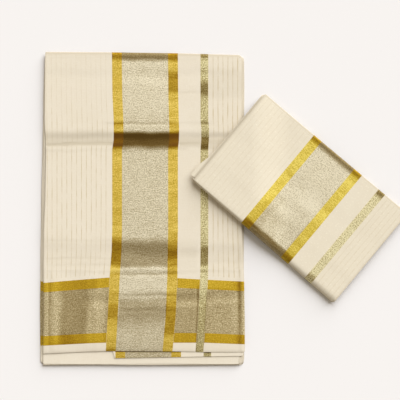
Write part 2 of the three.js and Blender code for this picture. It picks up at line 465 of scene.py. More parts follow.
    def _cotton(self, at: Spot, painted_shade_on_cotton: Wire) -> Wire:
        """Makes the cotton's colour with its stripes, slubs and painted shade.

        Args:
            at: the point.
            painted_shade_on_cotton: the painted shade at the point.

        Returns:
            The colour.
        """
        g, u, v = at.g, at.u, at.v
        lines = None
        for stripes in self.weave.stripes:
            middle = Band(stripes.first - stripes.pitch / 2, stripes.last + stripes.pitch / 2)
            offset = abs(((u - stripes.first) / stripes.pitch + 0.5).fraction() - 0.5)
            line = ((stripes.width / 2 - offset * stripes.pitch) / 0.6 + 0.5).held()
            weaker = ((v - stripes.fade_from) / stripes.fade_over).held() * stripes.fade
            strength = (1 - weaker) * stripes.strength * ((v - stripes.inset) / 2).held()
            line = line * self._between(u, middle) * strength
            lines = line if lines is None else lines.most(line)
        broken = at.noise(0.3, self.dash, 2.0, 0.6)
        broken = ((broken - 0.5) * self.dash_contrast + 0.6).held()
        slubs = at.noise(0.7, 0.05, 2.0) + at.noise(0.05, 0.7, 2.0)
        cloudy = g.noise(at.place, 0.012, 2.0)
        specks = g.noise(at.place, 0.35, 1.0)
        tone = cloudy * 0.5 + (slubs - 1) * 0.5 + (specks - 0.5) * 0.5
        base = g.mix(tone.held(), self.cotton, self.cotton_warm)
        striped = g.mix((lines * broken).held(), base, self.stripe)
        fleck = at.noise(0.24, 0.3, 0.0)
        striped = g.mix(((fleck - 0.66) * 9).held() * self.flecks, striped, self.fleck)
        # Painted shade from creases, slopes and patches.
        return g.mix(painted_shade_on_cotton.held(), striped, self.painted_shade_colour)

    def _threads(self, at: Spot, zari: Wire) -> Wire:
        """Makes the height of the woven threads.

        Args:
            at: the point.
            zari: 1 on metal thread.

        Returns:
            The height, about 0 to 1.
        """
        turn = 2 * math.pi / self.thread_pitch
        plain = (at.u * turn).sine() * (at.v * turn).sine() * 0.5 + 0.5
        grains = at.g.noise(at.place, 1.1, 2.0, 0.6)
        return plain * 0.5 + grains * (0.5 + zari * 1.6)


# ---- Folds and creases ----
class Run(Enum):
    """Which way a crease or a fold line runs over a folded cloth."""

    ACROSS = "across"  # from left to right
    ALONG = "along"  # from top to bottom


def smooth(share: Array) -> Array:
    """Returns a soft step from 0 to 1 of a share from 0 to 1."""
    held = np.clip(share, 0.0, 1.0)
    return held * held * (3 - 2 * held)


def part_way(start: Any, end: Any, share: Any) -> Any:
    """Returns what lies a share of the way from start to end."""
    return start + (end - start) * share


@dataclass(frozen=True)
class Crease:
    """A soft trough or ridge, in millimetres of the cloth's own axes.

    Attributes:
        run: the way it runs.
        at: its middle line's place at start.
        half: half its width.
        rise: its height, below 0 for a trough.
        start: where it starts along its run.
        end: where it ends.
        lean: how far that line moves by the crease's end.
        fade: how gently it dies out at both ends.
        wander: how far it strays from a straight line.
        zari: how much painted shade it lays on the metal thread.
        cotton: how much painted shade it lays on the cotton.
    """

    run: Run
    at: float
    half: float
    rise: float
    start: float
    end: float
    lean: float = 0.0
    fade: float = 20.0
    wander: float = 1.0
    zari: float = 0.0
    cotton: float = 0.0

    def bump(self, x: Array, y: Array) -> Array:
        """Works out how near each place is to the crease's line.

        Args:
            x: places across the cloth.
            y: places along it.

        Returns:
            1 on the line and 0 outside the crease.
        """
        along, aside = (x, y) if self.run is Run.ACROSS else (y, x)
        share = (along - self.start) / (self.end - self.start)
        stray = np.sin(along / 23 + self.at) + 0.5 * np.sin(along / 9.7 + 2 * self.at)
        off = np.abs(aside - self.at - self.lean * share - self.wander * stray) / self.half
        bump = 0.5 + 0.5 * np.cos(np.pi * np.clip(off, 0, 1))
        uneven = 1 + 0.25 * np.sin(along / 37 + 3 * self.at)
        begun = smooth((along - self.start) / self.fade + 0.5)
        ended = smooth((self.end - along) / self.fade + 0.5)
        return bump * uneven * (begun * ended)


crosswise = partial(Crease, Run.ACROSS)
lengthwise = partial(Crease, Run.ALONG)


@dataclass(frozen=True)
class Shade:
    """A patch of painted shade, in millimetres; a depth below 0 paints it lighter.

    Attributes:
        x: the patch's left and right edges, along the woven cloth.
        y: its lower and upper edges.
        zari: how much painted shade it lays on the metal thread.
        cotton: how much painted shade it lays on the cotton.
        soft: how wide the blur of its left, right, lower and upper edge is.
        lean: how far it climbs from its left to its right edge.
        wander: how far its edges stray.
    """

    x: Pair
    y: Pair
    zari: float
    cotton: float = 0.0
    soft: tuple[float, float, float, float] = (3.0, 3.0, 6.0, 6.0)
    lean: float = 0.0
    wander: float = 0.0

    def amount(self, x: Array, y: Array) -> Array:
        """Works out how far each place is in the patch.

        Args:
            x: places across the cloth.
            y: places along it.

        Returns:
            1 well inside and 0 outside.
        """
        lift = self.lean * (x - self.x[0]) / (self.x[1] - self.x[0])
        waves = np.sin(x / 17 + self.y[0]) + 0.6 * np.sin(x / 7.3 + self.y[1])
        level = y - lift - self.wander * waves
        waves = np.sin(y / 15 + self.x[0]) + 0.6 * np.sin(y / 6.1 + self.x[1])
        side = x - self.wander * waves
        left, right, lower, upper = self.soft
        return (
            smooth((side - self.x[0]) / left + 0.5)
            * smooth((self.x[1] - side) / right + 0.5)
            * smooth((level - self.y[0]) / lower + 0.5)
            * smooth((self.y[1] - level) / upper + 0.5)
        )


def in_band(band: Pair, *rows: tuple[float, ...]) -> tuple[Shade, ...]:
    """Makes patches of painted shade that fill one woven band of metal thread from edge to edge.

    Args:
        band: the band's edges.
        rows: each patch's lower and upper edge, its depth of painted shade, and the blur of both
            edges.

    Returns:
        The patches.
    """
    return tuple(Shade(band, row[:2], row[2], soft=(CRISP, CRISP, *row[3:])) for row in rows)


@dataclass(frozen=True)
class Roll:
    """How an edge turns down: over a width, by a drop, in millimetres."""

    width: float = 0.0
    drop: float = 0.0

    def fall(self, distance: Array) -> Array:
        """Returns how far the cloth has turned down at distances from the edge."""
        if self.width <= 0:
            return np.zeros_like(distance)
        share = np.clip(distance / self.width, 0, 1)
        return self.drop * (1 - np.sqrt(np.clip(1 - (1 - share) ** 2, 0, 1)))


@dataclass(frozen=True)
class Rolls:
    """The rolls of a folded cloth's four edges."""

    left: Roll = Roll()
    right: Roll = Roll()
    top: Roll = Roll()
    bottom: Roll = Roll()

    def fall(self, p: Array, q: Array, size: Pair) -> Array:
        """Works out how far the cloth has turned down.

        Args:
            p: distances from the left edge.
            q: distances from the bottom edge.
            size: the cloth's width and height.

        Returns:
            The drop at each place.
        """
        sides = ((self.left, p), (self.right, size[0] - p))
        ends = ((self.bottom, q), (self.top, size[1] - q))
        return np.maximum.reduce([roll.fall(distance) for roll, distance in sides + ends])


@dataclass(frozen=True)
class Outline:
    """A layer's four edges: x at top and bottom, y at left and right, in millimetres."""

    left: Pair
    right: Pair
    top: Pair
    bottom: Pair

    def size(self) -> Pair:
        """Returns the layer's mean width and height."""
        return (sum(self.right) - sum(self.left)) / 2, (sum(self.top) - sum(self.bottom)) / 2

    def place(self, p: Array, q: Array) -> tuple[Array, Array]:
        """Turns distances from the lower left corner into places.

        Args:
            p: distances from the left edge.
            q: distances from the bottom edge.

        Returns:
            x and y of each place.
        """
        s, t = (distance / side for distance, side in zip((p, q), self.size()))
        left, right = (part_way(low, high, t) for high, low in (self.left, self.right))
        bottom, top = part_way(*self.bottom, s), part_way(*self.top, s)
        return part_way(left, right, s), part_way(bottom, top, t)


@dataclass(frozen=True)
class Corners:
    """The radii of a layer's corners, in millimetres."""

    lower_left: float = 5.0
    lower_right: float = 5.0
    upper_right: float = 5.0
    upper_left: float = 5.0

    def turn(self, p: Array, q: Array, size: Pair) -> tuple[Array, Array]:
        """Turns the square corners of a grid round.

        Args:
            p: distances from the left edge.
            q: distances from the bottom edge.
            size: the grid's width and height.

        Returns:
            The new distances.
        """
        width, height = size
        on_left, low = p < width / 2, q < height / 2
        lower = np.where(on_left, self.lower_left, self.lower_right)
        upper = np.where(on_left, self.upper_left, self.upper_right)
        radius = np.where(low, lower, upper)
        a = 1 - np.clip(np.minimum(p, width - p) / radius, 0, 1)
        b = 1 - np.clip(np.minimum(q, height - q) / radius, 0, 1)
        reach = np.hypot(a, b)
        shrink = np.where(reach > 0, np.maximum(a, b) / np.maximum(reach, 1e-9), 1.0)
        moved_p = radius * a * (1 - shrink)
        moved_q = radius * b * (1 - shrink)
        return p + np.where(on_left, moved_p, -moved_p), q + np.where(low, moved_q, -moved_q)


@dataclass(frozen=True)
class Panel:
    """One hidden panel of a folded cloth: a pair of leaves that join round its edges.

    Attributes:
        outline: its edges.
        zari: how much painted shade lies on its metal thread.
        cotton: how much painted shade lies on its cotton.
        corners: its corners.
    """

    outline: Outline
    zari: float
    cotton: float
    corners: Corners = Corners()


def stacked(*rows: tuple) -> tuple[Panel, ...]:
    """Makes panels.

    Args:
        rows: for each its outline's left, right, top and bottom, its painted shade on zari and on
        cotton, and its corners' radii where they differ from the usual ones.

    Returns:
        The panels.
    """
    return tuple(Panel(Outline(*row[:4]), *row[4:6], Corners(*row[6:])) for row in rows)


def stations(length: float, step: float, fine: float, reach: float) -> Array:
    """Spaces grid lines: fine near both ends and even between.

    Args:
        length: the side's length.
        step: the spacing between.
        fine: the first spacing at an end.
        reach: how far from an end the fine spacing grows.

    Returns:
        The distances of the lines.
    """
    count = max(2, round(reach / (fine * 2)))
    near = reach * (np.arange(count) / count) ** 1.6
    middle = np.linspace(reach, length - reach, max(2, round((length - 2 * reach) / step) + 1))
    return np.concatenate([near, middle, (length - near)[::-1]])


def with_lines(places: Array, extra: Sequence[float], apart: float = 0.6) -> Array:
    """Adds grid lines, in place of those that lie too near them.

    Args:
        places: the distances of the lines.
        extra: the distances to add.
        apart: how near a line may lie to an added one.

    Returns:
        The distances in order.
    """
    added = np.asarray(extra)
    clear = np.abs(places[:, None] - added[None, :]).min(axis=1) > apart
    return np.sort(np.concatenate([places[clear], added]))


def uneven(x: Array, y: Array, seed: float) -> Array:
    """Makes the gentle unevenness of cloth that lies loosely.

    Args:
        x: places across.
        y: places along.
        seed: a number that tells one piece from another.

    Returns:
        Heights from about -1 to 1.
    """
    waves = (
        np.sin(x / 61 + seed) * np.sin(y / 83 + 1.7 * seed)
        + 0.5 * np.sin(x / 29 + y / 47 + 2.3 * seed)
        + 0.35 * np.sin(y / 19 - x / 53 + 0.9 * seed)
    )
    return waves / 1.85


# ---- Meshes ----
def grid_faces(columns: int, rows: int) -> Array:
    """Returns the corner numbers of a grid's faces, turned up."""
    i, j = np.meshgrid(np.arange(columns - 1), np.arange(rows - 1), indexing="ij")
    a = (i * rows + j).ravel()
    return np.stack([a, a + rows, a + rows + 1, a + 1], axis=1)


def in_columns(*grids: Array) -> Array:
    """Returns grids of millimetres as rows of metres, one for each grid point."""
    return np.stack([grid.ravel() for grid in grids], axis=1) * MM


def cloth_object(
    name: str,
    points: Array,
    faces: Array,
    weave: Array,
    shades: dict[str, Array],
    material: bpy.types.Material,
    thickness: float,
) -> bpy.types.Object:
    """Makes a thin shell of cloth.

    Args:
        name: the piece's name.
        points: its points, in metres.
        faces: four corner numbers for each face.
        weave: each point's place in the woven cloth.
        shades: painted shade values for each point, by attribute name.
        material: its finish.
        thickness: the cloth's thickness, in millimetres, grown inwards.

    Returns:
        The object, in the scene.
    """
    mesh = bpy.data.meshes.new(name)
    mesh.from_pydata(points.tolist(), [], faces.tolist())
    mesh.uv_layers.new(name=WEAVE_MAP)
    corners = np.zeros(len(mesh.loops), np.int32)
    mesh.loops.foreach_get("vertex_index", corners)
    mesh.uv_layers[WEAVE_MAP].uv.foreach_set("vector", weave[corners].astype(np.float32).ravel())
    for label, values in shades.items():
        layer = mesh.attributes.new(label, "FLOAT", "POINT")
        layer.data.foreach_set("value", values.astype(np.float32).ravel())
    mesh.polygons.foreach_set("use_smooth", np.ones(len(mesh.polygons), bool))
    mesh.materials.append(material)
    mesh.update()
    piece = bpy.data.objects.new(name, mesh)
    bpy.context.scene.collection.objects.link(piece)
    shell = piece.modifiers.new("cloth", "SOLIDIFY")
    shell.thickness = thickness * MM
    shell.offset = -1.0
    shell.use_even_offset = False
    return piece


# ---- Pieces ----
@dataclass
class FoldedCloth:
    """What both folded cloths share.

    Attributes:
        finish: the cloth's finish.
        thread: the thickness of one leaf, in millimetres.
        creases: the creases of its top leaf.
        shades: the patches of painted shade on its top leaf.
        slope_painted_shade: how much painted shade a slope across and along the cloth lays on the
            metal thread.
        to_light: which way the window lies, on the cloth's own axes.
        painted_rim_shades: painted shade on the cotton of the hidden panels at their left, right
            and top edge.
        steep: the steepest slope that the painted shade takes into account.
        facing_light_shade: how much painted shade a slope facing the light lays on the cotton, and
            the slope it needs to start.
        panels: the hidden panels, from the floor up.
        leaf_grid: the step and the first step at an edge of the top leaf's grid.
        second_grid: the same for the second leaf, and the reach of the fine steps.
        panel_name: what the hidden panels' pieces are called, before the number.
        panel_node: the solid that they stand for.
        panel_thick: the thickness of each.
        panel_grid: the step, the first step at an edge and the reach of the fine steps there.
        panel_turn: the width over which their edges turn in.
        panel_play: the air above and below each.
        panel_bow: how far their left edges bulge out.
        panel_ledge: how far their lower leaves reach past the upper ones at the bottom.
        panel_seeds: what tells their unevenness apart: the first seed and the step to the next.
        selvedges_below: whether their bottom edges are two selvedges and not a fold.
        material: the finish's material.
        low: the lower left corner of the lower cloth's solids.
    """

    finish: KasavuFinish
    thread: float = 0.3
    creases: tuple[Crease, ...] = ()
    shades: tuple[Shade, ...] = ()
    slope_painted_shade: Pair = (0.5, 0.9)
    to_light: Pair = (0.49, 0.87)
    painted_rim_shades: tuple[float, float, float] = (-0.2, 0.65, 0.1)
    steep: float = 0.25
    facing_light_shade: Pair = (4.0, 0.03)
    panels: tuple[Panel, ...] = ()
    leaf_grid: Pair = (2.6, 0.35)
    second_grid: tuple[float, float, float] = (6.0, 0.35, 8.0)
    panel_name: str = "lower_panel"
    panel_node: str = "lower_cloth_inner_folds"
    panel_thick: float = 0.93
    panel_grid: tuple[float, float, float] = (9.0, 0.3, 4.0)
    panel_turn: float = 1.8
    panel_play: float = 0.04
    panel_bow: float = 0.0
    panel_ledge: float = 1.5
    panel_seeds: Pair = (1.0, 1.9)
    selvedges_below: bool = True
    material: bpy.types.Material | None = None
    low: Vector = field(default_factory=lambda: Vector(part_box("lower_cloth_inner_folds")[0]) / MM)

    def place(self, x: Array, y: Array, z: Array) -> tuple[Array, ...]:
        """Turns the cloth's own millimetres into the object's."""
        raise NotImplementedError

    def panel_weave(self, number: int, x: Array, y: Array) -> tuple[Array, ...]:
        """Finds the woven places of places on a hidden panel."""
        raise NotImplementedError

    def top_leaf(self) -> None:
        """Makes the top leaf."""
        raise NotImplementedError

    def second_leaf(self) -> None:
        """Makes the leaf under it."""
        raise NotImplementedError

    def build(self) -> None:
        """Builds the cloth's pieces."""
        self.top_leaf()
        self.second_leaf()
        for number, panel in enumerate(self.panels):
            self.hidden_panel(number, panel)

    def dress(self) -> None:
        """Makes the cloth's material."""
        self.material = self.finish.material()

    def declare(self, piece: bpy.types.Object, node: str) -> None:
        """Attaches a piece of cloth to the root body and hides the solid that it stands for.

        Args:
            piece: the piece.
            node: the solid that it stands for.
        """
        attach(piece, "root")
        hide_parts(node)
        LOG.info("%s: %d faces for %s", piece.name, len(piece.data.polygons), node)

    def add_leaf(
        self,
        name: str,
        node: str,
        flat: Pair,
        spots: Sequence[Array],
        woven: Sequence[Array],
        shades: dict[str, Array],
    ) -> None:
        """Makes a leaf that shows.

        Args:
            name: the piece's name.
            node: the solid that it stands for.
            flat: its cut, in millimetres; not used.
            spots: x, y and z of a grid on the folded cloth.
            woven: the places of the same grid in the woven cloth.
            shades: painted shade values for each grid point, by attribute name.
        """
        piece = cloth_object(
            name,
            in_columns(*self.place(*spots)),
            grid_faces(*spots[0].shape),
            in_columns(*woven),
            shades,
            self.material,
            self.thread,
        )
        self.declare(piece, node)

    def relief(self, x: Array, y: Array) -> Array:
        """Returns how far the creases raise the top leaf at each place."""
        return sum(crease.rise * crease.bump(x, y) for crease in self.creases)

    def shading(self, u: Array, x: Array, y: Array, z: Array, relief: Array) -> dict[str, Array]:
        """Works out the painted shade of each place of the top leaf.

        Args:
            u: distances along the woven cloth, by which the patches are bounded.
            x: places across the folded cloth.
            y: places along it.
            z: heights.
            relief: how far the creases raise it there.

        Returns:
            The painted shade for metal thread and for cotton, by attribute name.
        """
        # Painted shade on the metal thread from the slopes of the creases.
        wide, high = np.gradient(x, axis=0), np.gradient(y, axis=1)
        across = np.clip(np.gradient(relief, axis=0) / wide, -self.steep, self.steep)
        along = np.clip(np.gradient(relief, axis=1) / high, -self.steep, self.steep)
        zari = self.slope_painted_shade[0] * across + self.slope_painted_shade[1] * along
        # Painted shade on cotton where it faces the light.
        rise = np.gradient(z, axis=0) / wide * self.to_light[0]
        rise = rise + np.gradient(z, axis=1) / high * self.to_light[1]
        cotton = np.clip(-self.facing_light_shade[0] * rise - self.facing_light_shade[1], 0, 1)
        # Painted shade from the patches and along the creases.
        for shade in self.shades:
            amount = shade.amount(u, y)
            zari, cotton = zari + shade.zari * amount, cotton + shade.cotton * amount
        for crease in self.creases:
            amount = crease.bump(x, y)
            zari, cotton = zari + crease.zari * amount, cotton + crease.cotton * amount
        return {ZARI_PAINTED_SHADE: zari, COTTON_PAINTED_SHADE: cotton}

    def hidden_panel(self, number: int, panel: Panel) -> None:
        """Makes one hidden panel: two leaves that join round its edges.

        Args:
            number: its place in the stack, from 0.
            panel: the panel.
        """
        seed = self.panel_seeds[0] + self.panel_seeds[1] * number
        size = width, height = panel.outline.size()
        p, q = np.meshgrid(*(stations(side, *self.panel_grid) for side in size), indexing="ij")
        edge = [p, width - p, height - q] + ([] if self.selvedges_below else [q])
        half = self.panel_thick / 2 - self.panel_play
        half = half - Roll(self.panel_turn, half).fall(np.minimum.reduce(edge))
        x, y = panel.outline.place(*panel.corners.turn(p, q, size))
        side = np.clip(np.abs(p - width / 2) / (width / 2), 0, 1) ** 6
        sway = 0.55 * np.sin(y / 71 + seed) + 0.35 * np.sin(y / 23 + 2 * seed)
        x = x + sway * side - self.panel_bow * np.sin(np.pi * q / height) * (1 - p / width)
        end = np.clip(1 - q / 12, 0, 1) if self.selvedges_below else np.zeros_like(q)
        middle = number * self.panel_thick + self.panel_thick / 2
        rows = []
        for way, slip in ((1, 0.0), (-1, self.panel_ledge)):
            wave = 0.5 * np.sin(x / 43 + seed + way)
            rows.append((x, y - (slip + wave) * end, middle + way * half))
        points = np.concatenate([in_columns(*self.place(*row)) for row in rows])
        corner = np.arange(p.size).reshape(p.shape)
        joined = np.zeros(p.shape, bool)
        joined[0, :] = joined[-1, :] = joined[:, -1] = True
        joined[:, 0] = not self.selvedges_below
        under = np.where(joined, corner, corner + p.size)
        top_faces = grid_faces(*p.shape)
        low_faces = under.ravel()[top_faces][:, ::-1]
        used, faces = np.unique(np.concatenate([top_faces, low_faces]), return_inverse=True)
        weave = in_columns(*self.panel_weave(number, *rows[0][:2]))
        # Painted shade on the panel, set for each panel and changed near its left, right and top
        # edge.
        near = np.stack([p, width - p, height - q], axis=-1)
        panel_edge_shade = (np.array(self.painted_rim_shades) * np.clip(1.6 - near / 2.5, 0, 1)).sum(axis=-1).ravel()
        shades = {
            ZARI_PAINTED_SHADE: np.full(len(used), panel.zari),
            COTTON_PAINTED_SHADE: np.clip(panel.cotton + np.concatenate([panel_edge_shade, panel_edge_shade])[used], 0, 1),
        }
        piece = cloth_object(
            f"{self.panel_name}_{number + 1}",
            points[used],
            faces.reshape(-1, 4),
            np.concatenate([weave, weave])[used],
            shades,
            self.material,
            self.thread * 0.8,
        )
        self.declare(piece, self.panel_node)


@dataclass
class LowerCloth(FoldedCloth):
    """The large folded cloth. Millimetres from the lower left corner of its solids."""

    leaf_top: float = 9.15
    second_top: float = 6.85
    rolls: Rolls = Rolls(Roll(5.0, 1.5), Roll(7.0, 0.9), Roll(9.0, 2.7), Roll(9.0, 0.8))
    # Woven lines by their distance along the cloth, then rows of a height and their x there.
    lines: tuple[float, ...] = (-8.0, 0.0, 130.4, 261.4, 306.4, 321.4, 387.4)
    line_rows: tuple[tuple[float, ...], ...] = (
        (24, 6.8, 14.2, 132.0, 265.0, 311.0, 326.4, 409.4),
        (37, 7.0, 14.4, 132.8, 266.0, 312.0, 327.4, 409.8),
        (103, 8.2, 14.8, 136.0, 272.4, 317.0, 332.4, 409.6),
        (183, 7.8, 15.0, 140.4, 275.6, 321.0, 336.4, 408.2),
        (231, 7.8, 15.2, 144.2, 275.6, 321.4, 336.8, 405.8),
        (273, 8.2, 15.0, 145.4, 276.4, 321.4, 336.8, 404.2),
        (333, 11.0, 15.0, 145.4, 276.4, 321.4, 336.8, 403.4),
        (433, 12.8, 15.0, 145.4, 276.4, 321.4, 336.8, 403.4),
        (453, 12.4, 14.8, 148.2, 278.4, 322.8, 338.2, 403.6),
        (477, 10.6, 14.6, 148.4, 278.8, 322.8, 338.2, 403.6),
        (493, 10.2, 14.4, 148.2, 278.0, 321.4, 336.8, 403.8),
        (543, 10.6, 13.6, 145.8, 277.0, 321.4, 336.8, 404.2),
        (629, 11.6, 13.0, 144.8, 276.2, 321.4, 336.8, 404.4),
    )
    # Places from the left, then woven lines by their distance in from the selvedge, and their
    # heights at each place.
    places: tuple[float, ...] = (3.4, 44.4, 100.4, 136.4, 276.4, 328.4, 409.4)
    kara_heights: tuple[tuple[float, tuple[float, ...]], ...] = (
        (0.0, (26.2, 28.2, 30.8, 31.8, 31.2, 29.9, 29.8)),
        (18.2, (42.6, 44.8, 47.8, 49.0, 48.8, 49.0, 45.6)),
        (146.4, (167.8, 171.4, 176.0, 178.8, 177.8, 174.8, 170.8)),
        (597.0, (629.0, 628.8, 628.4, 628.2, 626.2, 624.7, 622.4)),
    )
    creases: tuple[Crease, ...] = (
        crosswise(454, 15, -1.0, 0, 405, lean=4, wander=0.8),
        crosswise(436, 8, 0.35, 0, 300, lean=3),
        crosswise(444.5, 3.6, -0.42, 14, 58, fade=8, wander=0.4, cotton=0.5),
        crosswise(447.0, 3.6, -0.42, 48, 146, fade=10, wander=0.6, cotton=0.62),
        crosswise(447, 4.0, -0.3, 274, 320, fade=8, wander=0.4, cotton=0.3),
        crosswise(485, 4.0, -0.3, 130, 345, fade=14, wander=0.6, zari=0.04, cotton=0.1),
        crosswise(227, 30, -0.85, 0, 405, lean=-3, wander=2.5),
        crosswise(194, 6, 0.3, 0, 405, lean=1, wander=0.7, zari=-0.08),
        crosswise(185, 4.4, -0.3, 150, 290, wander=0.7, zari=0.12),
        crosswise(252, 3.0, -0.2, 16, 150, wander=0.6, cotton=0.12),
        crosswise(218, 3.0, -0.2, 16, 150, wander=0.6, cotton=0.2),
        crosswise(204.6, 3.0, -0.22, 16, 150, wander=0.6, cotton=0.16),
        crosswise(228, 14, -0.2, 276, 320, wander=0.8, cotton=0.25),
        crosswise(130, 17, -0.6, 90, 405, lean=9, wander=2.0),
        crosswise(142.4, 3.0, -0.4, 150, 275, wander=0.8),
        crosswise(112, 3.0, -0.22, 150, 275, wander=0.9),
        crosswise(578, 20, -0.35, 0, 405, lean=4, wander=2.0),
        crosswise(547, 4.0, -0.22, 276, 330, wander=0.8, cotton=0.16),
        lengthwise(19.6, 3.2, -0.5, 30, 190, wander=0.5, zari=0.2, cotton=0.05),
        lengthwise(72, 34, -0.55, 30, 185, lean=2, wander=2.0),
        lengthwise(30, 8, 0.3, 30, 185, wander=0.8, zari=-0.03),
        lengthwise(112, 10, 0.3, 30, 190, wander=0.8),
        lengthwise(399, 7, -0.4, 30, 320, lean=-2, wander=0.4, zari=0.26, cotton=0.15),
        lengthwise(311, 3.0, -0.35, 26, 160, lean=5.5, wander=0.4, zari=0.26),
        lengthwise(327.5, 3.0, -0.3, 26, 150, lean=5.5, wander=0.4, zari=0.16),
    )
    # Patches of painted shade: broad ones over several bands, then one band after another, then the
    # kara.
    shades: tuple[Shade, ...] = (
        Shade((-9, 300), (617, 660), 0.48, 0.08, (4, 4, 11, 4), lean=-7, wander=0.8),
        Shade((-9, 262), (438, 466.8), 0.84, 0.0, (4, CRISP, 13, 11), lean=1, wander=0.7),
        Shade((-9, 300), (202, 254), 0.32, 0.1, (4, 4, 12, 24), lean=-3, wander=1.6),
        Shade((-9, 130.4), (443, 470), 0.0, 0.5, (6, CRISP, 8, 16), wander=1.0),
        Shade((261.4, 306.4), (439, 464), 0.0, 0.42, (CRISP, CRISP, 6, 12), wander=1.0),
        Shade((321.4, 400), (433, 466), 0.0, 0.45, (CRISP, 8, 8, 12), wander=1.0),
        Shade((321.4, 400), (537, 593), 0.0, 0.2, (CRISP, 30, 16, 16), wander=1.0),
        Shade((321.4, 400), (207, 244), 0.0, 0.2, (CRISP, 30, 12, 14), wander=1.0),
        *in_band((150, 241.8), (505, 612, -0.04, 16, 12)),
        Shade((150, 241.8), (88, 134), 0.2, 0.0, (CRISP, CRISP, 46, 12), wander=1.4),
        Shade((130.4, 261.4), (20, 140), 0.05, 0.0, (CRISP, CRISP, 4, 24), wander=1.4),
        *in_band((150, 241.8), (152, 190, -0.07, 12, 6)),
        *in_band(
            (130.4, 150),
            (552, 584, 0.12, 14, 12),
            (512, 538, -0.06, 12, 12),
            (438, 446, 0.2, 8, 8),
            (480, 488, 0.3, 5, 5),
            (204, 260, 0.16, 6, 8),
            (188, 197, -0.25, 6, 5),
            (96, 126, 0.3, 10, 10),
            (27, 38, 0.28, 6, 6),
        ),
        *in_band(
            (241.8, 261.4),
            (438, 446, 0.2, 8, 8),
            (548, 588, 0.36, 14, 14),
            (478, 487, 0.16, 5, 5),
            (62, 132, 0.28, 14, 10),
            (216, 234, 0.22, 8, 8),
            (180, 196, 0.16, 6, 6),
        ),
        *in_band(
            (306.4, 321.4),
            (617, 660, 0.4, 7, 4),
            (434, 459, 0.55, 7, 8),
            (541, 570, 0.36, 14, 22),
            (594, 610, -0.1, 6, 5),
            (256, 320, -0.08, 6, 12),
            (484, 490, 0.16, 5, 5),
            (203, 240, 0.3, 10, 9),
            (142, 156, -0.12, 6, 6),
            (30, 130, 0.09, 6, 8),
        ),
        Shade((31, 88), (26, 178), 0.18, 0.0, (14, 12, 6, 6), wander=2.0),
        Shade((124, 130.4), (26, 160), 0.1, 0.0, (5, CRISP, 6, 4)),
        Shade((88, 108), (156, 190), 0.12, 0.0, (8, 8, 4, 4)),
        Shade((0, 130), (20, 50), 0.07, 0.0, (4, CRISP, 4, 4)),
        Shade((261.4, 366), (158, 190), -0.12, 0.0, (CRISP, 14, 4, 4)),
        Shade((24, 60), (40, 66), 0.14, 0.0, (8, 26, 6, 6)),
        *in_band((261.4, 306.4), (26, 178, 0.09, 6, 6)),
        Shade((321.4, 366), (26, 178), 0.06, 0.0, (CRISP, 14, 6, 6)),
        Shade((372, 390), (40, 64), 0.2, 0.0, (14, 4, 6, 6)),
        Shade((372, 390), (150, 176), 0.1, 0.0, (10, 4, 6, 6)),
        Shade((-12, -7.2), (-10, 640), 0.1, 0.06, (CRISP, 0.8, 6, 6)),
    )
    panels: tuple[Panel, ...] = stacked(
        ((11.0, 0.6), (408.6, 408.0), (625.2, 618.9), (10.2, 4.6), 0.1, 0.2, 3, 9, 8, 7),
        ((10.6, 1.2), (409.0, 407.4), (625.8, 619.4), (10.8, 5.4), 0.1, 0.15, 3, 8, 8, 7),
        ((11.4, 2.8), (408.4, 406.6), (626.3, 619.9), (9.6, 5.2), 0.08, 0.1, 3, 7, 8, 7),
        ((10.8, 4.6), (407.8, 405.4), (626.6, 620.1), (9.0, 5.8), 0.06, 0.1, 3, 7, 8, 7),
        ((11.8, 6.6), (407.2, 402.4), (626.4, 620.0), (5.6, 5.6), 0.06, 0.0, 2, 7, 8, 7),
        ((12.6, 7.6), (406.4, 401.2), (625.4, 619.2), (6.0, 6.2), 0.06, 0.0, 2, 7, 8, 7),
    )
    panel_bow: float = 2.6
    leaf_corners: Corners = Corners(2, 3, 8, 8)
    second: Panel = Panel(
        Outline((16.2, 17.4), (402.4, 406.6), (624.6, 618.2), (15.6, 22.4)),
        zari=0.12,
        cotton=0.02,
        corners=Corners(3, 4, 8, 4),
    )
    gap: float = 1.8  # half the width of the line of painted shadow on it under the top leaf's edge
    painted_gap_shade: float = 0.9  # how deep that painted shadow is
    gap_lines: tuple[float, ...] = tuple(8.5 + 0.5 * k for k in range(16))  # grid lines in it
    second_pattern: float = 21.2  # how far right of their places in the cloth its bands lie
    second_selvedge: float = 24.4  # and how far up its kara lies
    tuck: Pair = (150.5, 16.0)  # left of this its bottom is tucked up, by so much
    sag: Pair = (1.5, 0.9)  # the top leaf's sag left and right of it, at the bottom
    leaf_size: Pair = (395.4, 597.0)
    leaf_start: float = -8.0  # where the top leaf starts along the woven cloth
    loose: Pair = (0.14, 0.1)  # how unevenly the top leaf and the second one lie

    def place(self, x: Array, y: Array, z: Array) -> tuple[Array, ...]:
        """Turns the cloth's own millimetres into the object's."""
        return x + self.low.x, y + self.low.y, z

    def panel_weave(self, number: int, x: Array, y: Array) -> tuple[Array, ...]:
        """Finds the woven places of places on a hidden panel."""
        return -60.0 - x, y - 24.0 - 1.4 * (number % 2)

    def lie(self, u: Array, v: Array) -> tuple[Array, Array]:
        """Finds where woven places lie on the folded cloth.

        Args:
            u: distances along the cloth.
            v: distances in from the selvedge.

        Returns:
            x and y of each.
        """
        heights, *lines = np.transpose(self.line_rows)
        inward = [distance for distance, _ in self.kara_heights]
        y = np.interp(v, inward, [np.mean(row) for _, row in self.kara_heights])
        x = u
        for _ in range(3):
            columns = np.stack([np.interp(y, heights, line) for line in lines])
            x = self._between_rows(u, self.lines, columns)
            rows = np.stack([np.interp(x, self.places, row) for _, row in self.kara_heights])
            y = self._between_rows(v, inward, rows)
        return x, y

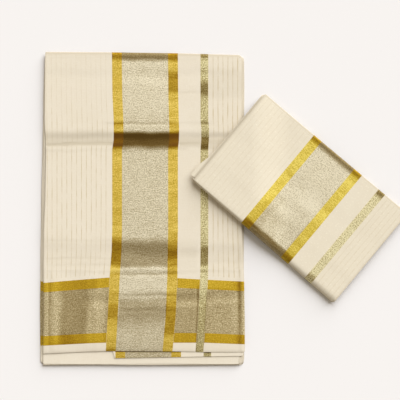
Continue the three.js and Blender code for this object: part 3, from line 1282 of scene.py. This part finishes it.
    @staticmethod
    def _between_rows(value: Array, keys: Sequence[float], rows: Array) -> Array:
        """Interpolates rows at each value.

        Args:
            value: where, in the units of keys.
            keys: the value of each row.
            rows: one array for each key.

        Returns:
            The interpolated array.
        """
        result = np.zeros_like(value)
        last = len(keys) - 2
        for k in range(last + 1):
            share = (value - keys[k]) / (keys[k + 1] - keys[k])
            low = -np.inf if k == 0 else 0.0
            high = np.inf if k == last else 1.0
            inside = (share >= low) & (share < high)
            result = np.where(inside, part_way(rows[k], rows[k + 1], share), result)
        return result

    def top_leaf(self) -> None:
        """Makes the top leaf, with its bands, stripes and packing creases."""
        size = self.leaf_size
        seams = [
            edge - self.leaf_start + side for edge in self.band_edges() for side in (-0.3, 0.3)
        ]
        p, q = np.meshgrid(
            with_lines(stations(size[0], *self.leaf_grid, 10.0), seams),
            stations(size[1], *self.leaf_grid, 12.0),
            indexing="ij",
        )
        u, v = self.leaf_corners.turn(p, q, size)
        u = u + self.leaf_start
        x, y = self.lie(u, v)
        relief = self.relief(x, y)
        left = smooth((self.tuck[0] - x) / 30 + 0.5)
        sag = part_way(self.sag[1], self.sag[0], left) * np.clip(1 - q / 26, 0, 1) ** 1.5
        flat = self.leaf_top - self.rolls.fall(p, q, size)
        z = flat - sag + relief + self.loose[0] * uneven(x, y, 1.3)
        shades = self.shading(u, x, y, z, relief)
        self.add_leaf("lower_top_leaf", "lower_cloth_top_leaf", size, (x, y, z), (u, v), shades)

    def band_edges(self) -> list[float]:
        """Returns where the bands that run across the cloth start and end, with their edgings."""
        weave = self.finish.weave
        start, end = weave.pallu.start, weave.pallu.end
        pallu = (start, start + weave.edging, end - weave.edging, end)
        return [*pallu, weave.narrow.start, weave.narrow.end]

    def second_leaf(self) -> None:
        """Makes the leaf under it, which shows along the bottom and has the bands once more."""
        size = self.second.outline.size()
        tucked = self.tuck[0] - self.second.outline.left[1]
        p, q = np.meshgrid(
            with_lines(stations(size[0], *self.second_grid), (tucked - 0.4, tucked + 0.4)),
            with_lines(stations(size[1], *self.second_grid), self.gap_lines),
            indexing="ij",
        )
        x, y = self.second.outline.place(*self.second.corners.turn(p, q, size))
        y = y + self.tuck[1] * (x < self.tuck[0]) * np.clip(1 - q / 20, 0, 1)
        z = self.second_top + self.loose[1] * uneven(x, y, 2.9)
        # A line of painted shadow on it under the top leaf's edge.
        leaf_edge = np.interp(x, self.places, self.kara_heights[0][1])
        under = smooth(1 - np.abs(y - leaf_edge + 0.5) / self.gap)
        shades = {
            ZARI_PAINTED_SHADE: self.second.zari + self.painted_gap_shade * under,
            COTTON_PAINTED_SHADE: np.full(p.shape, self.second.cotton),
        }
        woven = (x - self.second_pattern, y - self.second_selvedge)
        node = "lower_cloth_second_leaf"
        self.add_leaf("lower_second_leaf", node, size, (x, y, z), woven, shades)


@dataclass
class ShoulderCloth(FoldedCloth):
    """The small folded cloth. x runs along its long side, y across from its lower left edge."""

    corner: Pair = (306.4, 373.4)  # from the lower left corner of the lower cloth
    turn: float = math.radians(-39.8)
    drape: Pair = (420.7, 500.7)  # where it comes down past the lower cloth's edge
    lift: float = 9.3  # the height of the lower cloth, on which it lies
    leaf_top: float = 13.5
    second_top: float = 11.7
    leaf: Outline = Outline((0.5, 0.8), (371.5, 372.0), (223.5, 222.0), (-1.6, -9.6))
    leaf_corners: Corners = Corners(2, 6, 5, 4)
    second: Panel = Panel(
        Outline((-2.6, -3.0), (368.0, 368.0), (218.5, 217.5), (5.4, 6.0)),
        zari=0.1,
        cotton=0.1,
        corners=Corners(2),
    )
    second_roll: Roll = Roll(6.0, 3.0)  # along the second leaf's top edge
    # How far its left edge reaches out, up to which height wholly and from which no more.
    flare: tuple[float, float, float] = (7.0, 26.0, 72.0)
    gap: Pair = (-4.5, -1.0)  # where painted shade from the top leaf's edge lies on it
    painted_gap_shade: Pair = (0.6, 0.8)  # how much painted shade its zari and cotton get there
    rolls: Rolls = Rolls(left=Roll(3.0, 0.9), right=Roll(6.0, 1.8), top=Roll(5.0, 2.0))
    low_roll: Roll = Roll(10.0, 7.0)  # along its lower left edge
    spread: Pair = (0.38, 1.35)  # that roll's share of its width, left and right
    loose: float = 0.12  # how unevenly the top leaf lies
    creases: tuple[Crease, ...] = (
        lengthwise(92, 34, -0.35, -20, 250),
        lengthwise(236, 40, -0.45, -20, 250),
        lengthwise(331, 24, -0.3, -20, 250),
        crosswise(118, 30, -0.3, 0, 372, lean=10, wander=2.0),
        crosswise(62, 22, 0.25, 0, 372, lean=-8, wander=2.0),
    )
    shades: tuple[Shade, ...] = (
        Shade((-10, 380), (-30, 13.7), 0.4, 0.0, (4, 4, 4, 8), lean=-7.3, wander=0.7),
        Shade((-10, 380), (3, 13.7), 0.22, 0.0, (4, 4, 6, 8), lean=-7.3, wander=0.7),
        Shade((-10, 380), (-30, 4.5), 0.0, 0.34, (4, 4, 4, 13)),
        *in_band((296, 312.6), (-20, 8, -0.32, 4, 6)),
        Shade((-10, 380), (211.5, 240), 0.56, 0.0, (4, 4, 13, 4)),
        Shade((128, 200), (8, 60), 0.1, 0.0, (20, 40, 4, 50), wander=2.0),
        *in_band((294, 314.5), (-20, 240, -0.11, 4, 4)),
        *in_band((228, 254), (8, 84, 0.12, 6, 20)),
        Shade((140, 164), (8, 92), 0.08, 0.0, (8, 8, 6, 16), wander=1.6),
        Shade((206, 224), (8, 92), 0.05, 0.0, (6, 8, 6, 16), wander=1.6),
        Shade((184, 226), (98, 146), -0.05, 0.0, (10, 8, 12, 12), wander=1.6),
        Shade((-12, 3.6), (-16, 240), 0.4, 0.75, (CRISP, 8, 6, 6)),
    )
    to_light: Pair = (-0.18, 0.98)
    painted_rim_shades: tuple[float, float, float] = (0.0, 0.0, 0.6)
    panels: tuple[Panel, ...] = stacked(
        ((1.4, 1.0), (369.4, 369.6), (220.0, 219.0), (0.4, -8.6), 0.6, 1.0),
        ((0.4, 0.6), (370.8, 370.4), (220.8, 219.8), (-1.0, -10.6), 0.56, 0.9),
        ((-1.2, -0.6), (371.6, 370.8), (221.4, 220.6), (-0.2, -9.8), 0.5, 0.8),
        ((-2.0, -1.2), (371.0, 370.6), (220.8, 220.2), (-1.4, -10.4), 0.4, 0.6),
        ((-2.6, -1.6), (370.6, 370.0), (221.0, 220.0), (-0.6, -9.2), 0.3, 0.4),
        ((-1.0, -2.0), (369.4, 369.2), (220.2, 219.2), (-0.6, -8.8), 0.24, 0.3),
        ((-1.4, -2.6), (368.6, 368.8), (219.6, 218.6), (-0.2, -8.0), 0.2, 0.2),
        ((-2.2, -3.2), (367.6, 368.0), (217.6, 216.8), (0.8, -7.0), 0.2, 0.1),
    )
    panel_thick: float = 1.31
    panel_name: str = "shoulder_panel"
    panel_node: str = "shoulder_cloth_inner_folds"
    panel_seeds: Pair = (0.6, 2.3)
    selvedges_below: bool = False
    selvedge: float = 300.0  # how far its woven pattern lies from a kara

    def place(self, x: Array, y: Array, z: Array) -> tuple[Array, ...]:
        """Turns the cloth's own millimetres into the object's, down over the lower cloth's edge."""
        across = self.corner[0] + x * math.cos(self.turn) - y * math.sin(self.turn)
        along = self.corner[1] + x * math.sin(self.turn) + y * math.cos(self.turn)
        start, end = self.drape
        down = smooth((across - start) / (end - start))
        return across + self.low.x, along + self.low.y, z + self.lift * (1 - down)

    def panel_weave(self, number: int, x: Array, y: Array) -> tuple[Array, ...]:
        """Finds the woven places of places on a hidden panel."""
        return x, y + self.selvedge

    def top_leaf(self) -> None:
        """Makes the top leaf, rolled down along its long edges."""
        size = self.leaf.size()
        p, q = np.meshgrid(
            stations(size[0], *self.leaf_grid, 9.0),
            stations(size[1], *self.leaf_grid, 12.0),
            indexing="ij",
        )
        x, y = self.leaf.place(*self.leaf_corners.turn(p, q, size))
        relief = self.relief(x, y)
        wider = self.spread[0] + (self.spread[1] - self.spread[0]) * p / size[0]
        fall = np.maximum(self.rolls.fall(p, q, size), self.low_roll.fall(q / wider))
        z = self.leaf_top - fall + relief + self.loose * uneven(x, y, 4.1)
        shades = self.shading(x, x, y, z, relief)
        woven = (x, y + self.selvedge)
        node = "shoulder_cloth_top_leaf"
        self.add_leaf("shoulder_top_leaf", node, size, (x, y, z), woven, shades)

    def second_leaf(self) -> None:
        """Makes the leaf under it, whose left edge reaches out near its lower end."""
        size = self.second.outline.size()
        p, q = np.meshgrid(*(stations(side, *self.second_grid) for side in size), indexing="ij")
        x, y = self.second.outline.place(*self.second.corners.turn(p, q, size))
        reach, whole, gone = self.flare
        out = (1 - smooth((y - whole) / (gone - whole))) * np.clip(1 - p / 60, 0, 1)
        x = x - reach * out
        droop = 0.9 * out * np.clip(1 - p / 12, 0, 1)
        z = self.second_top - droop - self.second_roll.fall(size[1] - q)
        # Painted shade near the top leaf's edge.
        painted_edge_shade = smooth((x - self.gap[0]) / (self.gap[1] - self.gap[0]))
        shades = {
            ZARI_PAINTED_SHADE: self.second.zari + self.painted_gap_shade[0] * painted_edge_shade,
            COTTON_PAINTED_SHADE: self.second.cotton + self.painted_gap_shade[1] * painted_edge_shade,
        }
        woven = (x, y + self.selvedge)
        node = "shoulder_cloth_second_leaf"
        self.add_leaf("shoulder_second_leaf", node, size, (x, y, z), woven, shades)


# ---- Studio ----
@dataclass
class Studio:
    """A pale floor, soft light from the upper right and a camera straight above."""

    frame_width: float = 0.8
    aim: Pair = (0.3204, 0.3334)  # from the lower left corner of the lower cloth
    lens: float = 120.0
    sensor: float = 36.0
    glow: float = 0.356
    glow_colour: tuple = (1.0, 0.9, 0.74, 1.0)
    sun: float = 4.79
    sun_colour: tuple = (0.98, 1.012, 1.065)
    sun_from: tuple[float, float, float] = (0.45, 0.8, 0.52)
    sun_width: float = math.radians(60)
    floor_reach: float = 6.0
    floor_gap: float = 0.0002  # so that the cloth's underside doesn't lie in the floor
    floor_colour: tuple = (0.86, 0.835, 0.82, 1.0)

    def floor(self) -> None:
        """Lays the pale floor."""
        mesh = bpy.data.meshes.new("floor")
        turns = ((-1, -1), (1, -1), (1, 1), (-1, 1))
        corners = [(x * self.floor_reach, y * self.floor_reach, 0) for x, y in turns]
        mesh.from_pydata(corners, [], [(0, 1, 2, 3)])
        g = Graph("pale_floor")
        shader = g.node(
            "ShaderNodeBsdfPrincipled",
            {},
            {"Base Color": self.floor_colour, "Roughness": 0.9, "Specular IOR Level": 0.1},
        )
        g.node("ShaderNodeOutputMaterial", {}, {"Surface": shader})
        mesh.materials.append(g.material)
        floor = bpy.data.objects.new("floor", mesh)
        floor.location.z = -self.floor_gap
        bpy.context.scene.collection.objects.link(floor)

    def lights(self) -> None:
        """Hangs the soft light."""
        world = bpy.data.worlds.new("studio")
        world.use_nodes = True
        sky = world.node_tree.nodes["Background"]
        sky.inputs["Color"].default_value = self.glow_colour
        sky.inputs["Strength"].default_value = self.glow
        bpy.context.scene.world = world
        sun = bpy.data.lights.new("window", "SUN")
        sun.energy = self.sun
        sun.angle = self.sun_width
        sun.color = self.sun_colour
        lamp = bpy.data.objects.new("window", sun)
        lamp.rotation_euler = (-Vector(self.sun_from)).to_track_quat("-Z", "Y").to_euler()
        bpy.context.scene.collection.objects.link(lamp)

    def camera(self) -> None:
        """Sets the camera straight above."""
        data = bpy.data.cameras.new("camera")
        data.lens = self.lens
        data.sensor_width = self.sensor
        eye = bpy.data.objects.new("camera", data)
        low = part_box("lower_cloth_inner_folds")[0]
        height = self.frame_width * self.lens / self.sensor
        eye.location = (low[0] + self.aim[0], low[1] + self.aim[1], height)
        bpy.context.scene.collection.objects.link(eye)
        bpy.context.scene.camera = eye

    def build(self) -> None:
        """Sets up the whole studio."""
        self.floor()
        self.lights()
        self.camera()
        bpy.context.scene.view_settings.view_transform = "Standard"


LOWER_WEAVE = Weave(
    pallu=Band(130.4, 261.4),
    narrow=Band(306.4, 321.4),
    edging=19.6,
    kara=Band(18.2, 146.4),
    stripes=(StripeField(0.8, 118.0, 9.77, fade=0.6), StripeField(331.0, 388.4, 9.57, 1.7, 1.05)),
)
SHOULDER_WEAVE = Weave(
    pallu=Band(128.0, 252.8),
    narrow=Band(296.0, 312.6),
    edging=20.0,
    kara=Band(18.2, 146.4),
    stripes=(StripeField(2.0, 116.0, 9.77, 1.8, 0.3), StripeField(322.0, 380.0, 9.57, 1.8, 0.4)),
)


def main() -> None:
    """Builds the saree and its studio."""
    logging.basicConfig(level=logging.INFO, format="%(name)s: %(message)s")
    cloths = (
        LowerCloth(KasavuFinish("lower_kasavu_cotton", "lower_cloth_cotton", LOWER_WEAVE)),
        ShoulderCloth(
            KasavuFinish(
                "shoulder_kasavu_cotton",
                "shoulder_cloth_cotton",
                SHOULDER_WEAVE,
                cotton=rgb(229, 219, 197.5),
                flecks=0.45,
                dash=0.13,
                dash_contrast=2.5,
                depth=0.08,
                narrow_tint=(1.02, 1.02, 0.84, 1.0),
                gold_tint=(1.03, 1.12, 1.12, 1.0),
            )
        ),
    )
    for cloth in cloths:
        cloth.dress()
        cloth.build()
    Studio().build()


if __name__ == "__main__":
    main()
